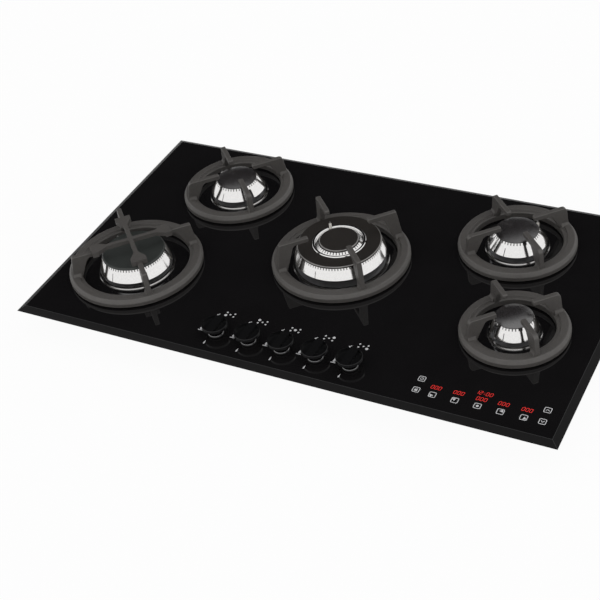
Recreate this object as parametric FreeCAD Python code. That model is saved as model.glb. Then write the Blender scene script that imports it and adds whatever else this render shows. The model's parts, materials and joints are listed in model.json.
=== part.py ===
import FreeCAD, Part
import math
import os

# Five-burner gas cooktop on a bevelled black glass plate.
# Millimetres. +X to the right, +Y to the back, +Z up. The origin is under the middle of the
# glass, on the level of the tray's underside.

os.makedirs("parts", exist_ok=True)

Vec = FreeCAD.Vector
UP = Vec(0, 0, 1)

# ---------------------------------------------------------------- driving dimensions
glass_width = 900.0
glass_depth = 520.0
glass_thickness = 6.0
bevel_width = 10.8
bevel_land = 0.7

tray_height = 50.0
tray_wall = 0.8
tray_top_width = 860.0
tray_top_depth = 472.0
tray_draft = 30.0
tray_flange = 7.0
tray_fixing_span_x = 640.0
tray_fixing_span_y = 340.0
tray_fixing_hole_r = 2.1

seal_width = 7.0
seal_height = 3.0
seal_inset = 4.0

flange_lap = 5.0
gasket_thickness = 1.5
flange_thickness = 2.0
deck_thickness = 3.0
deck_wall = 2.0
hole_lap = 1.5
hole_clearance = 0.6
trim_overhang = 4.0
trim_thickness = 2.2
trim_inset = 1.5
trim_edge = 0.7
trim_round = 1.1
neck_height = 16.0
neck_wall = 3.0
cup_wall = 6.0
cup_depth = 30.0
cup_floor = 16.0
pipe_boss_width = 14.0
pipe_boss_height = 14.0
pipe_boss_reach = 4.0
jet_r = 4.0
jet_height = 12.0
jet_tip_r = 2.0
jet_tip_height = 4.0
jet_bore_r = 1.2
jet_orifice_r = 0.5
gas_way_r = 2.0
air_window_width = 6.0
air_window_height = 6.0
air_window_count = 6
air_window_sill = 2.0

skirt_wall = 2.2
rim_wall = 4.0
gallery_depth = 5.0
crown_plate = 3.0
spigot_depth = 4.0
spigot_wall = 2.0
spigot_clearance = 0.3
port_width = 1.4
port_depth = 3.2
port_pitch = 4.6
skirt_slot_width = 1.1
skirt_slot_count = 6
skirt_slot_start = 22.5
skirt_slot_clear_angle = 12.0
cap_lip_depth = 2.0
cap_lip_width = 2.0
cap_lip_clearance = 0.6
cap_edge = 1.2
cap_thickness = 3.2

# The wok burner has two flame rings: an outer crown with a ring-shaped lid, and an inner crown.
inner_wall_r = 54.0
inner_wall = 3.0
inner_floor_drop = 7.0
wok_plate = 8.0
wok_gas_way_r = 2.4
wok_gas_way_count = 6
inner_crown_r = 43.2
inner_bead_width = 4.6
inner_bead_rise = 4.4
inner_bead_round = 2.0
inner_groove_rise = 0.8
inner_rim_r = 33.0
inner_rim_rise = 5.0
inner_notch_r = 34.6
inner_notch_width = 5.8
inner_cap_r = 31.6
inner_cap_thickness = 2.8
wok_cap_thickness = 3.4
wok_cap_inner_clearance = 0.8
inner_tube_r = 16.0

electrode_r = 2.2
electrode_inset = 4.5
electrode_hole_clearance = 0.4
electrode_tail = 8.0
electrode_collar_r = 2.9
electrode_collar_height = 2.0
spark_pin_r = 0.9
spark_pin_height = 4.5
probe_r = 1.8
probe_nut_r = 2.9
probe_nut_height = 5.0
notch_width = 8.4
notch_reach = 3.5

pad_r = 6.0
pad_height = 3.0
pad_inset = 12.0
ring_height = 12.5
ring_width = 21.5
ring_edge = 4.0
ring_edge_round = 3.0
ring_flat = 11.0
ring_step = 2.5
ring_step_slope = 1.0
ring_step_round = 0.7
finger_thickness = 8.0
finger_foot_thickness = 13.0
finger_foot_height = 5.0
finger_base_inset = 6.0
finger_root = 36.0
finger_root_round = 8.0
finger_arm_depth = 8.0
finger_edge_round = 1.2
finger_tip_round = 2.5
finger_foot_inset = 2.0
finger_angles = (45.0, 135.0, 225.0, 315.0)

saddle_reach = 66.0
saddle_width = 25.0
saddle_length = 10.0
saddle_rise = 4.0
saddle_drop = 5.0
saddle_flare = 15.0
saddle_slot_clearance = 0.5
adaptor_arm_width = 7.0
adaptor_arm_depth = 7.0
adaptor_hub_r = 6.0

knob_count = 5
knob_pitch = 56.8
knob_row_x = 6.5
knob_row_y = -206.0
knob_travel = 4.0
knob_hole_r = 8.0
bezel_r = 12.5
bezel_thickness = 2.0
bezel_round = 1.2
bezel_gap = 0.3
knob_neck_clearance = 0.8
knob_neck_depth = 0.5
knob_foot_r = 11.5
knob_foot_rim = 2.0
knob_foot_round = 0.9
knob_disc_r = 20.0
knob_disc_low = 13.0
knob_height = 18.0
knob_rim_width = 1.6
knob_rim_round = 0.7
knob_recess_depth = 4.0
knob_grip_width = 13.0
knob_grip_round = 1.5
knob_socket_depth = 12.0
knob_pointer_width = 1.6
knob_pointer_length = 8.0
knob_pointer_depth = 0.6

valve_width = 20.0
valve_height = 24.0
valve_drop = 5.0
plug_r = 7.0
plug_floor = 3.0
plug_height = 15.0
turning_clearance = 0.05
spindle_r = 4.0
spindle_grip = 11.0
spring_coil_r = 5.4
spring_wire_r = 0.4
spring_turns = 3
spring_seat_gap = 0.15
spring_room = 9.0
collar_r = 6.2
collar_thickness = 1.5

rail_size = 12.0
rail_wall = 2.0
rail_overhang = 25.0
pipe_r = 3.0
supply_pipe_r = 5.0
pipe_wall = 1.0
pipe_bend = 12.0
supply_bend = 14.0
supply_run_out = 20.0
supply_fall_run = 30.0
pipe_level = 37.0
lead_r = 1.25
lead_bend = 5.0
lead_level = 6.0
probe_lead_r = 1.0
probe_lead_level = 10.0
probe_lead_high_level = 13.5
probe_bend = 3.0
probe_entry_x = 5.0

bracket_width = 28.0
bracket_thickness = 1.5
bracket_margin = 10.0
bracket_foot = 12.0
bracket_cup_clearance = 1.0
screw_r = 2.0
screw_head_r = 3.6
screw_head_height = 2.2

inlet_x = 388.0
inlet_thread_r = 10.5
inlet_thread_length = 25.0
inlet_shoulder_r = 12.5
inlet_level = 18.0
inlet_reach = 255.0
inlet_block_width = 22.0
inlet_block_depth = 20.0
inlet_block_back = 190.0
inlet_hole_clearance = 0.5

spark_box_size = (56.0, 100.0, 24.0)
spark_box_corner = (-398.0, 70.0)

board_size = (203.0, 38.0)
board_corner = (221.0, -228.0)
board_thickness = 1.6
display_size = (156.0, 22.0)
display_offset = (24.0, 13.0)
display_height = 4.0
key_sensor_r = 5.0
zone_key_count = 5
zone_key_pitch = 33.5
zone_key_x = 256.0
key_row_y = -222.0
key_rise = 24.0
lock_key_x = 230.0
level_key_x = 416.2

gland_x = -365.0
gland_y = 188.0
gland_r = 8.0
gland_bore_r = 4.5
gland_height = 8.0
gland_collar_r = 11.0
gland_collar_height = 3.0

# Lanes of the pipes and leads under the glass, chosen by hand round cups and brackets.
pipe_front_gap = 30.0
pipe_back_gap = 55.0
pipe_side_x = 190.0
pipe_cross_y = 60.0
wok_pipe_front_y = -140.0
wok_pipe_back_y = -80.0
wok_lead_y = 90.0
wok_lead_x = -150.0
front_right_lead_y = 100.0
front_right_lead_x = 212.0
back_right_lead_y = 160.0
left_probe_x = -215.0
inner_probe_x = 160.0
wok_probe_x = 70.0
back_left_probe_y = 45.0
back_right_probe_y = 40.0
near_probe_y = -150.0
far_probe_y = -160.0
wok_probe_y = -140.0

# A cutter runs this far past the face it opens, and a joined limb this far into its neighbour.
lap = 1.0
# An edge counts as level or straight across when it strays less than this.
flat_tolerance = 0.001

glass_bottom = tray_height
glass_top = glass_bottom + glass_thickness
flange_top = glass_bottom - gasket_thickness
flange_bottom = flange_top - flange_thickness
tray_floor = tray_wall


class Burner:
    """One cooking zone: where it stands, and the few sizes in which the burners differ."""

    def __init__(self, name, x, y, skirt_r, skirt_z, rim_r, rim_z, neck_r, dome,
                 support_r, finger_z, tip_r, finger_lean, corner, spark_angle, spark_z,
                 probe_angle, spark_r=None):
        self.name = name
        self.at = Vec(x, y, 0)
        self.skirt_r = skirt_r
        self.skirt_z = glass_top + skirt_z
        self.rim_r = rim_r
        self.rim_z = glass_top + rim_z
        self.neck_r = neck_r
        self.dome = dome
        self.support_r = support_r
        self.finger_z = glass_top + finger_z
        self.tip_r = tip_r
        self.finger_lean = finger_lean
        self.corner = corner
        self.spark_angle = spark_angle
        self.spark_z = glass_top + spark_z
        self.probe_angle = probe_angle
        self.hole_r = skirt_r + hole_lap
        self.deck_r = self.hole_r - hole_clearance
        self.flange_r = self.hole_r + flange_lap
        self.throat_r = neck_r - neck_wall
        self.cup_r = neck_r + cup_wall
        self.probe_r = skirt_r - electrode_inset
        self.spark_r = spark_r if spark_r else self.probe_r

    def polar(self, radius, angle, z):
        a = math.radians(angle)
        return self.at + Vec(radius * math.cos(a), radius * math.sin(a), z)


left = Burner("left", -317, -102, skirt_r=60, skirt_z=10, rim_r=52, rim_z=31, neck_r=19, dome=0,
              support_r=111, finger_z=53, tip_r=50, finger_lean=5.5, corner=3,
              spark_angle=151, spark_z=29, probe_angle=116)
back_left = Burner("back_left", -254, 135, skirt_r=47, skirt_z=12, rim_r=34, rim_z=30.5,
                   neck_r=15, dome=3, support_r=95.5, finger_z=48, tip_r=30, finger_lean=5,
                   corner=7, spark_angle=158, spark_z=24, probe_angle=-30)
wok = Burner("wok", 0, 17, skirt_r=74, skirt_z=15.5, rim_r=67.5, rim_z=34.5, neck_r=21, dome=0,
             support_r=112, finger_z=64, tip_r=50, finger_lean=8, corner=3,
             spark_angle=136.5, spark_z=47, probe_angle=100, spark_r=38.0)
back_right = Burner("back_right", 253, 136, skirt_r=47, skirt_z=12, rim_r=34, rim_z=30.5,
                    neck_r=15, dome=3, support_r=93.5, finger_z=48, tip_r=28, finger_lean=3.5,
                    corner=7, spark_angle=60, spark_z=24, probe_angle=210)
front_right = Burner("front_right", 319, -61, skirt_r=37, skirt_z=11, rim_r=28, rim_z=30,
                     neck_r=12, dome=4, support_r=82, finger_z=49, tip_r=29, finger_lean=4,
                     corner=7, spark_angle=127, spark_z=23, probe_angle=230)
burners = [left, back_left, wok, back_right, front_right]

knob_places = [Vec(knob_row_x + (i - (knob_count - 1) / 2) * knob_pitch, knob_row_y, 0)
               for i in range(knob_count)]


# ---------------------------------------------------------------- shape helpers
def save(name, shape):
    """Check each solid, print the node's size and write its file."""
    solids = shape.Solids
    if not solids or not all(s.isValid() and s.Volume > 0 for s in solids):
        raise RuntimeError(name + " is not made of sound solids")
    box = shape.BoundBox
    print("%-26s %2d solids %10.0f mm3  z %.1f to %.1f"
          % (name, len(solids), shape.Volume, box.ZMin, box.ZMax))
    shape.exportStep("parts/" + name + ".step")


def block(x0, y0, z0, x1, y1, z1):
    return Part.makeBox(x1 - x0, y1 - y0, z1 - z0, Vec(x0, y0, z0))


def rod(radius, z0, z1, at=Vec(0, 0, 0)):
    return Part.makeCylinder(radius, z1 - z0, Vec(at.x, at.y, z0))


def tube(outer, inner, z0, z1, at=Vec(0, 0, 0)):
    return rod(outer, z0, z1, at).cut(rod(inner, z0, z1, at))


def spun(points, at=Vec(0, 0, 0)):
    """Solid of revolution about the vertical through at, from (radius, z) corners."""
    corners = [Vec(r, 0, z) for r, z in points]
    face = Part.Face(Part.makePolygon(corners + corners[:1]))
    return face.revolve(Vec(0, 0, 0), UP, 360).translated(Vec(at.x, at.y, 0))


def outline(corners):
    """Closed wire in the XZ plane through (x, z, radius) corners, each rounded by its radius."""
    ends = []
    count = len(corners)
    points = [Vec(x, 0, z) for x, z, radius in corners]
    for i, (x, z, radius) in enumerate(corners):
        come = points[i] - points[i - 1]
        go = points[(i + 1) % count] - points[i]
        come.normalize()
        go.normalize()
        back = radius * math.tan(come.getAngle(go) / 2)
        ends.append((points[i] - come * back, points[i] + go * back))
    edges = []
    for i in range(count):
        if corners[i][2]:
            edges.append(arc_end(ends[i][0], points[i], ends[i][1]))
        edges.append(Part.LineSegment(ends[i][1], ends[(i + 1) % count][0]).toShape())
    return Part.Wire(edges)


def spun_outline(corners, at=Vec(0, 0, 0)):
    """Solid of revolution of a rounded outline about the vertical through at."""
    solid = Part.Face(outline(corners)).revolve(Vec(0, 0, 0), UP, 360)
    return solid.translated(Vec(at.x, at.y, 0))


def turned(shape, burner, angle):
    """Turn a shape drawn along +X from the axis to an angle, and set it at the burner."""
    copy = shape.copy()
    copy.rotate(Vec(0, 0, 0), UP, angle)
    copy.translate(burner.at)
    return copy


def arc_end(start, apex, end):
    """Arc from start to end whose tangents meet at apex."""
    middle = (start + end) * 0.5
    half = (end - start).Length / 2
    reach = (apex - start).Length
    swing = math.acos(min(1.0, half / reach))
    out = apex - middle
    out.normalize()
    return Part.Arc(start, middle + out * (half * math.tan(swing / 2)), end).toShape()


def bent_path(points, radius):
    """Straight runs through the points, joined by tangent arcs of one radius."""
    edges = []
    here = points[0]
    for before, corner, after in zip(points, points[1:], points[2:]):
        come = corner - before
        go = after - corner
        come.normalize()
        go.normalize()
        back = radius * math.tan(come.getAngle(go) / 2)
        start = corner - come * back
        end = corner + go * back
        edges.append(Part.LineSegment(here, start).toShape())
        edges.append(arc_end(start, corner, end))
        here = end
    edges.append(Part.LineSegment(here, points[-1]).toShape())
    return Part.Wire(edges)


def swept(path, radius, start, direction):
    """Round rod of one radius along a path."""
    ring = Part.Wire(Part.makeCircle(radius, start, direction))
    return path.makePipeShell([ring], True, False)


def bent_rod(points, radius, bend):
    return swept(bent_path(points, bend), radius, points[0], points[1] - points[0])


def bent_tube(points, radius, bend):
    """Round pipe with pipe_wall all along."""
    outer = bent_rod(points, radius, bend)
    return outer.cut(bent_rod(points, radius - pipe_wall, bend))


def coil(at, z0, z1, radius, wire, turns):
    """Round wire wound up a vertical axis, on pairs of tangent arcs of an eighth of a turn."""
    steps = turns * 4
    rise = (z1 - z0) / steps
    slope = rise / (math.pi / 2 * radius)

    def place(i):
        a = i * math.pi / 2
        return Vec(at.x + radius * math.cos(a), at.y + radius * math.sin(a), z0 + i * rise)

    def heading(i):
        a = i * math.pi / 2
        t = Vec(-math.sin(a), math.cos(a), slope)
        t.normalize()
        return t

    edges = []
    for i in range(steps):
        p0, p1, t0, t1 = place(i), place(i + 1), heading(i), heading(i + 1)
        v = p1 - p0
        along = v.dot(t0 + t1)
        spread = 2 * (1 - t0.dot(t1))
        d = (-along + math.sqrt(along * along + spread * v.dot(v))) / spread
        joint = (p0 + t0 * d + p1 - t1 * d) * 0.5
        edges.append(arc_end(p0, p0 + t0 * d, joint))
        edges.append(arc_end(joint, p1 - t1 * d, p1))
    return swept(Part.Wire(edges), wire, place(0), heading(0))


# ---------------------------------------------------------------- glass, tray and seal
def tray_half(z):
    """Half width and half depth of the tray's outside at a height."""
    inset = tray_draft * (1 - z / tray_height)
    return tray_top_width / 2 - inset, tray_top_depth / 2 - inset


def frustum(low, high, z0, z1):
    """Four-sided frustum between two centred rectangles given as half sizes."""
    def outline(half, z):
        x, y = half
        corners = [Vec(-x, -y, z), Vec(x, -y, z), Vec(x, y, z), Vec(-x, y, z)]
        return Part.makePolygon(corners + corners[:1])
    return Part.makeLoft([outline(low, z0), outline(high, z1)], True, True)


def glass_plate():
    half = (glass_width / 2, glass_depth / 2)
    inner = (half[0] - bevel_width, half[1] - bevel_width)
    edge_z = glass_bottom + bevel_land
    plate = block(-half[0], -half[1], glass_bottom, half[0], half[1], edge_z)
    plate = plate.fuse(frustum(half, inner, edge_z, glass_top)).removeSplitter()
    for b in burners:
        plate = plate.cut(rod(b.hole_r, glass_bottom - lap, glass_top + lap, b.at))
    for place in knob_places:
        plate = plate.cut(rod(knob_hole_r, glass_bottom - lap, glass_top + lap, place))
    return plate


def tray():
    wall = tray_wall
    low, high = tray_half(0), tray_half(tray_height)
    shell = frustum(low, high, 0, tray_height)
    lip = block(-high[0] - tray_flange, -high[1] - tray_flange, tray_height - wall,
                high[0] + tray_flange, high[1] + tray_flange, tray_height)
    shell = shell.fuse(lip)
    hollow = frustum((low[0] - wall, low[1] - wall), (high[0] - wall, high[1] - wall),
                     wall, tray_height)
    shell = shell.cut(hollow)
    for sx in (-1, 1):
        for sy in (-1, 1):
            at = Vec(sx * tray_fixing_span_x / 2, sy * tray_fixing_span_y / 2, 0)
            shell = shell.cut(rod(tray_fixing_hole_r, -lap, wall + lap, at))
    shell = shell.cut(rod(gland_r, -lap, wall + lap, Vec(gland_x, gland_y, 0)))
    inlet_way = Part.makeCylinder(inlet_shoulder_r + inlet_hole_clearance, tray_draft * 2,
                                  Vec(inlet_x, inlet_block_back, inlet_level), Vec(0, 1, 0))
    return shell.cut(inlet_way).removeSplitter()


def seal():
    x = glass_width / 2 - seal_inset
    y = glass_depth / 2 - seal_inset
    z = glass_bottom - seal_height
    strip = block(-x, -y, z, x, y, glass_bottom)
    x -= seal_width
    y -= seal_width
    return strip.cut(block(-x, -y, z, x, y, glass_bottom))


# ---------------------------------------------------------------- burners
def burner_base(b):
    """Cast body: clamped flange and deck in the glass, cup and jet seat below, neck above."""
    cup_bottom = glass_top - cup_depth
    deck_under = glass_top - deck_thickness
    neck_top = glass_top + neck_height
    body = spun([(0, cup_bottom), (b.cup_r, cup_bottom), (b.cup_r, deck_under),
                 (b.deck_r - deck_wall, deck_under), (b.deck_r - deck_wall, flange_bottom),
                 (b.flange_r, flange_bottom), (b.flange_r, flange_top), (b.deck_r, flange_top),
                 (b.deck_r, glass_top), (b.neck_r, glass_top), (b.neck_r, neck_top),
                 (b.throat_r, neck_top), (b.throat_r, cup_bottom + cup_floor),
                 (0, cup_bottom + cup_floor)], b.at)
    boss_z = pipe_level - pipe_boss_height / 2
    half = pipe_boss_width / 2
    boss = block(-half, -b.cup_r - pipe_boss_reach, boss_z, half, -b.throat_r - lap,
                 boss_z + pipe_boss_height)
    body = body.fuse(boss.translated(b.at)).removeSplitter()
    face = b.at + Vec(0, -b.cup_r - pipe_boss_reach, pipe_level)
    body = body.cut(Part.makeCylinder(gas_way_r, b.at.y - face.y, face, Vec(0, 1, 0)))
    body = body.cut(rod(gas_way_r, pipe_level, cup_bottom + cup_floor, b.at))
    sill = glass_top + air_window_sill
    window = block(b.throat_r - lap, -air_window_width / 2, sill,
                   b.neck_r + lap, air_window_width / 2, sill + air_window_height)
    for i in range(air_window_count):
        body = body.cut(turned(window, b, i * 360 / air_window_count))
    clearance = electrode_r + electrode_hole_clearance
    for radius, angle in ((b.spark_r, b.spark_angle), (b.probe_r, b.probe_angle)):
        way = rod(clearance, deck_under - lap, glass_top + lap, b.polar(radius, angle, 0))
        body = body.cut(way)
    return body


def trim_ring(b):
    inner = b.skirt_r - trim_inset
    outer = b.skirt_r + trim_overhang
    top = glass_top + trim_thickness
    return spun([(inner, glass_top), (outer, glass_top), (outer, glass_top + trim_edge),
                 (outer - trim_round, top), (inner + trim_round, top),
                 (inner, top - trim_round)], b.at)


def jet(b):
    seat = glass_top - cup_depth + cup_floor
    top = seat + jet_height
    tip = top + jet_tip_height
    return spun([(jet_bore_r, seat), (jet_r, seat), (jet_r, top), (jet_tip_r, tip),
                 (jet_orifice_r, tip), (jet_orifice_r, top), (jet_bore_r, top)], b.at)


def skirt_radius(b, z):
    """Outside radius of the crown's sloping skirt at a height."""
    share = (b.rim_z - z) / (b.rim_z - b.skirt_z)
    return b.rim_r + (b.skirt_r - b.rim_r) * share


def ports(b, radius, z, wall):
    """Radial port slots through a rim whose top is at z."""
    cutter = block(radius - wall - lap, -port_width / 2, z - port_depth,
                   radius + port_depth, port_width / 2, z + lap)
    count = int(2 * math.pi * radius / port_pitch)
    return Part.Compound([turned(cutter, b, i * 360 / count) for i in range(count)])


def cut_skirt(b, crown):
    """Long slots down the skirt, and a notch where the electrode and the probe stand."""
    low = b.skirt_z - lap
    slot = block(b.rim_r - rim_wall / 2, -skirt_slot_width / 2, low, b.skirt_r + lap,
                 skirt_slot_width / 2, b.rim_z - gallery_depth - crown_plate)
    for i in range(skirt_slot_count):
        turn = skirt_slot_start + i * 360 / skirt_slot_count
        away = min(abs((turn - a + 180) % 360 - 180) for a in (b.spark_angle, b.probe_angle))
        if away > skirt_slot_clear_angle:
            crown = crown.cut(turned(slot, b, turn))
    for radius, angle in ((b.spark_r, b.spark_angle), (b.probe_r, b.probe_angle)):
        if radius < b.rim_r - rim_wall:
            continue
        notch = block(radius - notch_reach, -notch_width / 2, low, b.skirt_r + lap,
                      notch_width / 2, b.rim_z + lap)
        crown = crown.cut(turned(notch, b, angle))
    return crown


def crown(b):
    """Flame spreader: bright sloping skirt, gas gallery and a spigot in the base's neck."""
    seat = glass_top + neck_height
    floor = b.rim_z - gallery_depth
    under = floor - crown_plate
    spigot_r = b.throat_r - spigot_clearance
    bore = spigot_r - spigot_wall
    body = spun([(b.skirt_r, b.skirt_z), (b.rim_r, b.rim_z), (b.rim_r - rim_wall, b.rim_z),
                 (b.rim_r - rim_wall, floor), (bore, floor), (bore, seat - spigot_depth),
                 (spigot_r, seat - spigot_depth), (spigot_r, seat), (b.neck_r, seat),
                 (b.neck_r, under), (skirt_radius(b, under) - skirt_wall, under),
                 (b.skirt_r - skirt_wall, b.skirt_z)], b.at)
    body = body.cut(ports(b, b.rim_r, b.rim_z, rim_wall))
    return cut_skirt(b, body)


def cap(b, thickness):
    """Lid of the burner with a locating lip, flat or crowned as a part of a sphere."""
    lip = b.rim_r - rim_wall - cap_lip_clearance
    low = b.rim_z - cap_lip_depth
    top = b.rim_z + thickness
    profile = [(0, b.rim_z), (lip - cap_lip_width, b.rim_z), (lip - cap_lip_width, low),
               (lip, low), (lip, b.rim_z), (b.rim_r, b.rim_z), (b.rim_r, b.rim_z + cap_edge)]
    corners = [Vec(r, 0, z) for r, z in profile]
    edges = [Part.LineSegment(p, q).toShape() for p, q in zip(corners, corners[1:])]
    last = corners[-1]
    if b.dome:
        peak = Vec(0, 0, top + b.dome)
        rise = peak.z - last.z
        ball_r = (b.rim_r ** 2 + rise ** 2) / (2 * rise)
        half = math.asin(b.rim_r / ball_r) / 2
        middle = Vec(ball_r * math.sin(half), 0, peak.z - ball_r * (1 - math.cos(half)))
        edges.append(Part.Arc(last, middle, peak).toShape())
    else:
        edge = Vec(b.rim_r - (thickness - cap_edge), 0, top)
        peak = Vec(0, 0, top)
        edges.append(Part.LineSegment(last, edge).toShape())
        edges.append(Part.LineSegment(edge, peak).toShape())
    edges.append(Part.LineSegment(peak, corners[0]).toShape())
    solid = Part.Face(Part.Wire(edges)).revolve(Vec(0, 0, 0), UP, 360)
    return solid.translated(b.at)


def wok_crown():
    b = wok
    seat = glass_top + neck_height
    floor = b.rim_z - inner_floor_drop
    under = floor - wok_plate
    spigot_r = b.throat_r - spigot_clearance
    bore = spigot_r - spigot_wall
    body = spun([(b.skirt_r, b.skirt_z), (b.rim_r, b.rim_z), (b.rim_r - rim_wall, b.rim_z),
                 (b.rim_r - rim_wall, floor), (inner_wall_r, floor), (inner_wall_r, b.rim_z),
                 (inner_wall_r - inner_wall, b.rim_z), (inner_wall_r - inner_wall, floor),
                 (bore, floor), (bore, seat - spigot_depth), (spigot_r, seat - spigot_depth),
                 (spigot_r, seat), (b.neck_r, seat), (b.neck_r, under),
                 (skirt_radius(b, under) - skirt_wall, under),
                 (b.skirt_r - skirt_wall, b.skirt_z)], b.at)
    body = body.cut(ports(b, b.rim_r, b.rim_z, rim_wall))
    clearance = electrode_r + electrode_hole_clearance
    body = body.cut(rod(clearance, under - lap, floor + lap, b.polar(b.spark_r, b.spark_angle, 0)))
    level = floor - wok_plate / 2
    landing = (inner_wall_r + b.rim_r - rim_wall) / 2
    run = Part.makeCylinder(wok_gas_way_r, landing - bore + lap, Vec(bore - lap, 0, level),
                            Vec(1, 0, 0))
    rise = rod(wok_gas_way_r, level, floor + lap, Vec(landing, 0, 0))
    for i in range(wok_gas_way_count):
        body = body.cut(turned(run.fuse(rise), b, i * 360 / wok_gas_way_count))
    return cut_skirt(b, body)


def wok_inner_crown():
    """Inner flame ring: a rounded bead round a groove, and a cone up to its ports."""
    b = wok
    seat = b.rim_z - inner_floor_drop
    bead_top = b.rim_z + inner_bead_rise
    groove = b.rim_z + inner_groove_rise
    groove_r = inner_crown_r - inner_bead_width
    top = b.rim_z + inner_rim_rise
    floor = top - gallery_depth
    under = floor - crown_plate
    wall = skirt_wall
    body = spun_outline([
        (inner_crown_r, seat, 0), (inner_crown_r, bead_top, inner_bead_round),
        (groove_r, bead_top, inner_bead_round), (groove_r, groove, 0), (inner_rim_r, top, 0),
        (inner_rim_r - rim_wall, top, 0), (inner_rim_r - rim_wall, floor, 0),
        (inner_tube_r - wall, floor, 0), (inner_tube_r - wall, seat, 0), (inner_tube_r, seat, 0),
        (inner_tube_r, under, 0), (inner_crown_r - wall, under, 0),
        (inner_crown_r - wall, seat, 0)], b.at)
    body = body.cut(ports(b, inner_rim_r, top, rim_wall))
    half = inner_notch_width / 2
    notch = block(inner_notch_r, -half, seat - lap, inner_crown_r + lap, half, top + lap)
    return body.cut(turned(notch, b, b.spark_angle))


def wok_cap():
    b = wok
    inner = inner_crown_r + wok_cap_inner_clearance
    top = b.rim_z + wok_cap_thickness
    low = b.rim_z - cap_lip_depth
    lip = b.rim_r - rim_wall - cap_lip_clearance
    ring = spun([(inner, b.rim_z), (lip - cap_lip_width, b.rim_z), (lip - cap_lip_width, low),
                 (lip, low), (lip, b.rim_z), (b.rim_r, b.rim_z), (b.rim_r, top - cap_edge),
                 (b.rim_r - cap_edge, top), (inner, top)], b.at)
    return ring


def wok_inner_cap():
    b = wok
    seat = b.rim_z + inner_rim_rise
    lip = inner_rim_r - rim_wall - cap_lip_clearance
    low = seat - cap_lip_depth
    top = seat + inner_cap_thickness
    return spun([(0, seat), (lip - cap_lip_width, seat), (lip - cap_lip_width, low), (lip, low),
                 (lip, seat), (inner_cap_r, seat), (inner_cap_r, top - cap_edge),
                 (inner_cap_r - cap_edge, top), (0, top)], b.at)


# ---------------------------------------------------------------- sparks and flame probes
def electrode_ceramic(b):
    at = b.polar(b.spark_r, b.spark_angle, 0)
    stem = rod(electrode_r, glass_top - electrode_tail, b.spark_z, at)
    collar_low = glass_top - deck_thickness - electrode_collar_height
    return stem.fuse(rod(electrode_collar_r, collar_low, glass_top - deck_thickness, at))


def electrode_pin(b):
    at = b.polar(b.spark_r, b.spark_angle, 0)
    return rod(spark_pin_r, b.spark_z, b.spark_z + spark_pin_height, at)


def spark_lead(b, points):
    """Lead from the spark box, up to the foot of its electrode."""
    foot = b.polar(b.spark_r, b.spark_angle, 0)
    route = [Vec(x, y, lead_level) for x, y in points]
    route.append(Vec(foot.x, foot.y, lead_level))
    route.append(Vec(foot.x, foot.y, glass_top - electrode_tail))
    return bent_rod(route, lead_r, lead_bend)


def probe(b, points, level, knob):
    """Flame probe, its nut under the deck, and its lead down to the valve of its knob."""
    at = b.polar(b.probe_r, b.probe_angle, 0)
    nut_low = glass_top - deck_thickness - probe_nut_height
    tip = rod(probe_r, nut_low, b.rim_z - port_depth, at)
    nut = rod(probe_nut_r, nut_low, glass_top - deck_thickness, at)
    valve_low = glass_bottom - valve_drop - valve_height
    entry = knob + Vec(probe_entry_x, 0, 0)
    route = [Vec(at.x, at.y, nut_low), Vec(at.x, at.y, level)]
    route += [Vec(x, y, level) for x, y in points]
    route += [Vec(entry.x, points[-1][1], level), Vec(entry.x, entry.y, level)]
    route.append(Vec(entry.x, entry.y, valve_low))
    lead = bent_rod(route, probe_lead_r, probe_bend)
    return tip.fuse(nut).fuse(lead)


# ---------------------------------------------------------------- pan supports and adaptor
def pan_support(b):
    """Cast ring on four pads, with four level fingers on the diagonals that reach inwards."""
    low = glass_top + pad_height
    top = low + ring_height
    ledge = top - ring_step
    outer = b.support_r
    inner = outer - ring_width
    edge = outer - ring_edge
    flat = edge - ring_flat
    body = spun_outline([(outer, low, 0), (outer, (low + top) / 2, ring_edge_round),
                         (edge, top, ring_edge_round), (flat, top, ring_step_round),
                         (flat - ring_step_slope, ledge, 0), (inner, ledge, ring_edge / 2),
                         (inner, low, 0)], b.at)
    base_r = outer - finger_base_inset
    crest_r = base_r - b.finger_lean
    nose_z = b.finger_z - finger_arm_depth
    flank = Part.Face(outline([
        (base_r, low + lap, 0), (base_r, top, 0), (crest_r, b.finger_z, b.corner),
        (b.tip_r, b.finger_z, finger_tip_round), (b.tip_r, nose_z, finger_tip_round),
        (outer - finger_root, nose_z, finger_root_round), (inner, ledge - lap, 0),
        (inner + lap, low + lap, 0)]))
    finger = flank.extrude(Vec(0, finger_thickness, 0))
    finger.translate(Vec(0, -finger_thickness / 2, 0))
    crest_low = b.finger_z - b.corner - lap
    long_edges = [e for e in finger.Edges
                  if e.BoundBox.YLength < flat_tolerance and e.BoundBox.ZMax > crest_low]
    finger = finger.makeFillet(finger_edge_round, long_edges)
    half, slim = finger_foot_thickness / 2, finger_thickness / 2
    foot_lines = []
    for width, z in ((half, ledge), (slim, top + finger_foot_height)):
        back = inner + finger_foot_inset
        foot_r = base_r - b.finger_lean * (z - ledge) / (b.finger_z - top)
        corners = [Vec(back, -width, z), Vec(foot_r, -width, z), Vec(foot_r, width, z),
                   Vec(back, width, z)]
        foot_lines.append(Part.makePolygon(corners + corners[:1]))
    foot = Part.makeLoft(foot_lines, True, True)
    for angle in finger_angles:
        body = body.fuse(turned(finger, b, angle)).fuse(turned(foot, b, angle))
    return body.removeSplitter()


def support_pads():
    pads = []
    for b in burners:
        for angle in finger_angles:
            at = b.polar(b.support_r - pad_inset, angle, 0)
            pads.append(rod(pad_r, glass_top, glass_top + pad_height, at))
    return pads


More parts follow.
